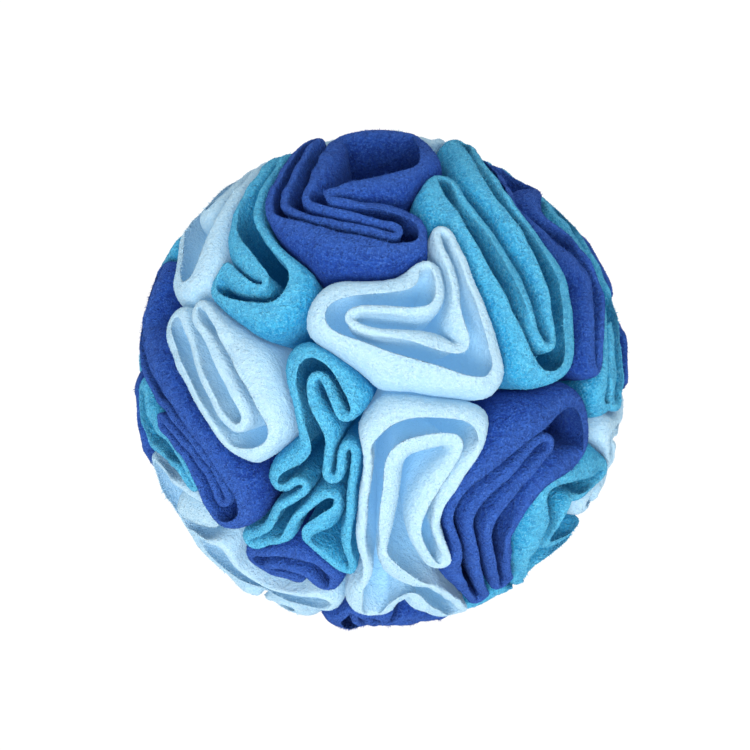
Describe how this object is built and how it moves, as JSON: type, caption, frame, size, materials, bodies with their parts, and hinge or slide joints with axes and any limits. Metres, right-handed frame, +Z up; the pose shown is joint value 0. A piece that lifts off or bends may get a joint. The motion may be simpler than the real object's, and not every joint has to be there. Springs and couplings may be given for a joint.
{
  "type": "dog snuffle ball",
  "caption": "Round soft snuffle toy of gathered fleece rounds in royal blue, teal and pale blue, whose folded rims leave pockets for hiding dry treats",
  "frame": {"origin": "centre of the bottom of the bounding box, on the small flat spot the ball rests on", "axes": "+Z is up as the ball rests, the side the picture looks at is up and towards -Y"},
  "size_m": [0.1478, 0.149, 0.1474],
  "materials": {
    "fleece_royal": "matt brushed pile, both faces",
    "fleece_teal": "matt brushed pile, both faces",
    "fleece_pale": "matt brushed pile, both faces"
  },
  "bodies": {
    "root": {"fleece_royal_top": "fleece_royal", "fleece_teal_upper_right": "fleece_teal", "fleece_pale_middle": "fleece_pale", "fleece_pale_low": "fleece_pale", "fleece_royal_low_right": "fleece_royal", "fleece_teal_middle": "fleece_teal", "fleece_pale_left": "fleece_pale", "fleece_royal_left": "fleece_royal", "fleece_teal_left": "fleece_teal", "fleece_pale_low_left": "fleece_pale", "fleece_royal_low_left": "fleece_royal", "fleece_teal_low_right": "fleece_teal", "fleece_teal_right": "fleece_teal", "fleece_royal_upper_right": "fleece_royal", "fleece_teal_upper_left": "fleece_teal", "fleece_pale_upper_left": "fleece_pale", "fleece_pale_top_edge": "fleece_pale", "fleece_royal_bottom_edge": "fleece_royal", "fleece_pale_right_edge": "fleece_pale", "fleece_teal_far_top": "fleece_teal", "fleece_royal_far_right": "fleece_royal", "fleece_teal_far_low": "fleece_teal", "fleece_pale_far_left": "fleece_pale", "fleece_teal_far_left": "fleece_teal", "fleece_royal_near_left": "fleece_royal", "fleece_pale_near_low": "fleece_pale", "fleece_royal_under_top": "fleece_royal", "fleece_teal_under_left": "fleece_teal", "fleece_pale_under_right": "fleece_pale", "fleece_royal_under_low": "fleece_royal", "fleece_teal_under_low": "fleece_teal", "fleece_pale_sole": "fleece_pale"}
  },
  "joints": []
}
